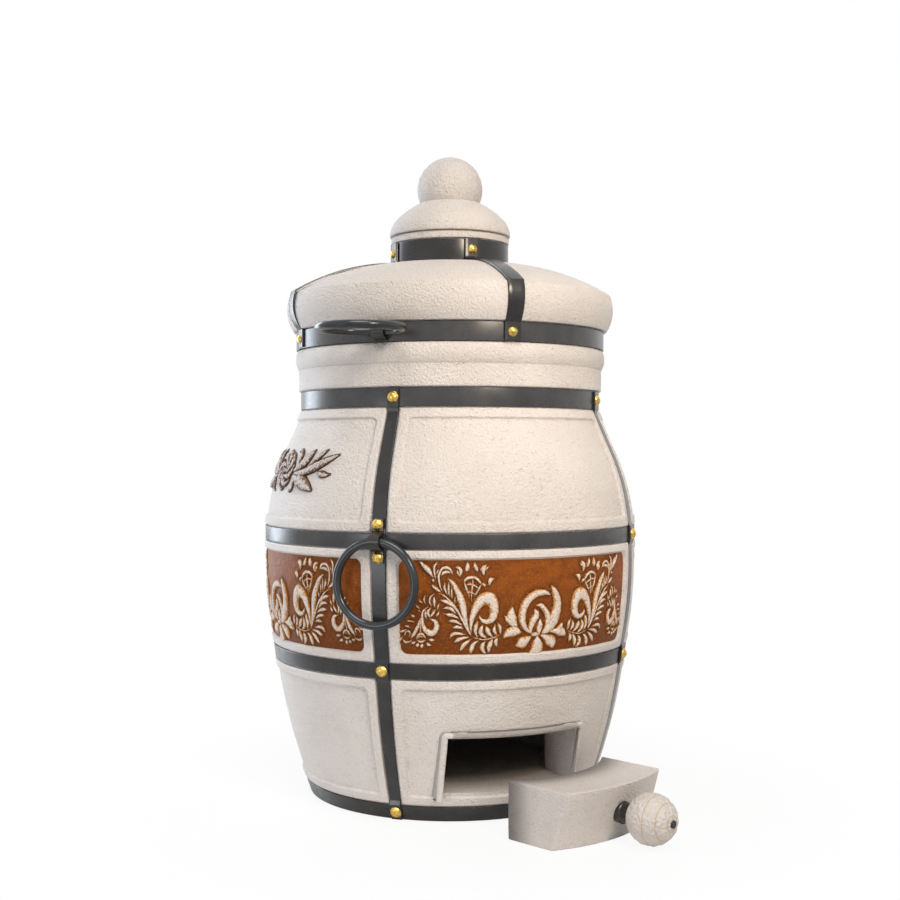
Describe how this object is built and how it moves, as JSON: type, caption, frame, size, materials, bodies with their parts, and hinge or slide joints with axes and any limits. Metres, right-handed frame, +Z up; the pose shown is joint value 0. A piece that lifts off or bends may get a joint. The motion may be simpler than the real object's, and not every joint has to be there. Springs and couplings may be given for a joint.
{
  "type": "clay tandoor oven",
  "caption": "Jar-shaped clay tandoor oven in a cage of steel hoops and straps, with a hinged lid, vent cap, ring handles and an ash opening with a loose plug.",
  "frame": {"origin": "on the oven's axis at floor level", "axes": "+Z up along the oven's axis, -Y out through the ash opening"},
  "size_m": [0.5981, 0.7734, 1.0206],
  "materials": {
    "fired_clay": "unglazed fired clay, warm white, finely pitted",
    "relief_glaze": "mottled brown glaze",
    "blackened_steel": "satin black",
    "brass": "polished",
    "grate_iron": "raw casting",
    "knob_clay": "turned, with fine grooves"
  },
  "bodies": {
    "oven": {"clay_base": "fired_clay", "clay_barrel": "fired_clay", "clay_neck": "fired_clay", "floor_slab": "fired_clay", "relief_panel_front": "relief_glaze", "relief_panel_right": "relief_glaze", "relief_panel_back": "relief_glaze", "relief_panel_left": "relief_glaze", "ash_surround": "fired_clay", "hoop_bottom": "blackened_steel", "hoop_lower": "blackened_steel", "hoop_middle": "blackened_steel", "hoop_top": "blackened_steel", "strap_front_left": "blackened_steel", "strap_front_right": "blackened_steel", "strap_back_right": "blackened_steel", "strap_back_left": "blackened_steel", "ring_clip_front": "blackened_steel", "ring_clip_back": "blackened_steel", "body_rivets": "brass", "clip_rivets": "brass", "hinge_lug": "blackened_steel", "hinge_pin": "blackened_steel"},
    "lid": {"lid_dome": "fired_clay", "lid_band": "blackened_steel", "neck_band": "blackened_steel", "lid_strap_front": "blackened_steel", "lid_strap_right": "blackened_steel", "lid_strap_back": "blackened_steel", "lid_strap_left": "blackened_steel", "lid_ring_clip": "blackened_steel", "lid_rivets": "brass", "hinge_leaf": "blackened_steel"},
    "cap": {"vent_cap": "fired_clay", "cap_knob": "fired_clay"},
    "front_ring": {"body_ring_front": "blackened_steel"},
    "back_ring": {"body_ring_back": "blackened_steel"},
    "lid_handle": {"lid_ring": "blackened_steel"},
    "grate": {"fire_grate": "grate_iron"},
    "plug": {"ash_plug": "fired_clay", "plug_ferrule": "blackened_steel", "plug_knob": "knob_clay", "plug_bolt": "blackened_steel"}
  },
  "joints": [
    {"name": "lid_hinge", "type": "hinge", "parent": "oven", "child": "lid", "pos_m": [0.18847, 0.182, 0.706], "axis": [-0.6947, 0.7193, 0], "range_deg": [0, 100]},
    {"name": "cap_lift", "type": "slide", "parent": "lid", "child": "cap", "axis": [0, 0, 1], "range_m": [0, 0.15]},
    {"name": "grate_lift", "type": "slide", "parent": "oven", "child": "grate", "axis": [0, 0, 1], "range_m": [0, 0.3]},
    {"name": "front_ring_swing", "type": "hinge", "parent": "oven", "child": "front_ring", "pos_m": [-0.20863, -0.22848, 0.415], "axis": [-0.7385, 0.6743, 0], "range_deg": [0, 120]},
    {"name": "back_ring_swing", "type": "hinge", "parent": "oven", "child": "back_ring", "pos_m": [0.20863, 0.22848, 0.415], "axis": [0.7385, -0.6743, 0], "range_deg": [0, 120]},
    {"name": "lid_ring_swing", "type": "hinge", "parent": "lid", "child": "lid_handle", "pos_m": [-0.18466, -0.17832, 0.7178], "axis": [-0.6947, 0.7193, 0], "range_deg": [-80, 60]},
    {"name": "plug_slide", "type": "slide", "parent": "oven", "child": "plug", "axis": [0.3778, -0.9259, 0], "range_m": [0, 0.25]}
  ]
}
